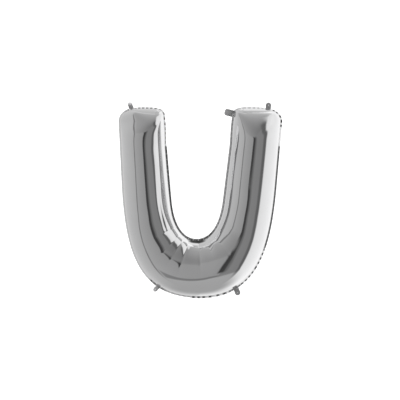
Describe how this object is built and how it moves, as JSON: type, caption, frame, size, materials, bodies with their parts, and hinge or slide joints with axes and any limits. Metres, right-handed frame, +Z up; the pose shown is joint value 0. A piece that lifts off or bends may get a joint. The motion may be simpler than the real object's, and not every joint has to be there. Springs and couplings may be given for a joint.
{
  "type": "letter foil balloon",
  "caption": "Inflated foil balloon shaped as a capital letter U, with sealed edge, hanging tabs and a self-sealing filling tail; party decoration that floats or hangs.",
  "frame": {"origin": "centre of the balloon in the plane of the sealed edge, halfway up the letter", "axes": "+Z up along the letter's arms, +X across the letter towards the arm that carries the filling tail, -Y out of the front panel"},
  "size_m": [0.8689, 0.2622, 1.048],
  "materials": {
    "film": "mirror bright metallised film",
    "sealed_film": "heat-sealed double film, slightly dulled",
    "tab_film": "double metallised film, soft creases",
    "valve_film": "clear film"
  },
  "bodies": {
    "root": {"front_panel": "film", "back_panel": "film", "sealed_edge": "sealed_film", "hanging_tab_top_left": "tab_film", "hanging_tab_top_right": "tab_film", "hanging_tab_bottom_left": "tab_film", "hanging_tab_bottom_right": "tab_film", "filling_tail_front": "tab_film", "filling_tail_back": "tab_film", "valve_film": "valve_film"}
  },
  "joints": []
}
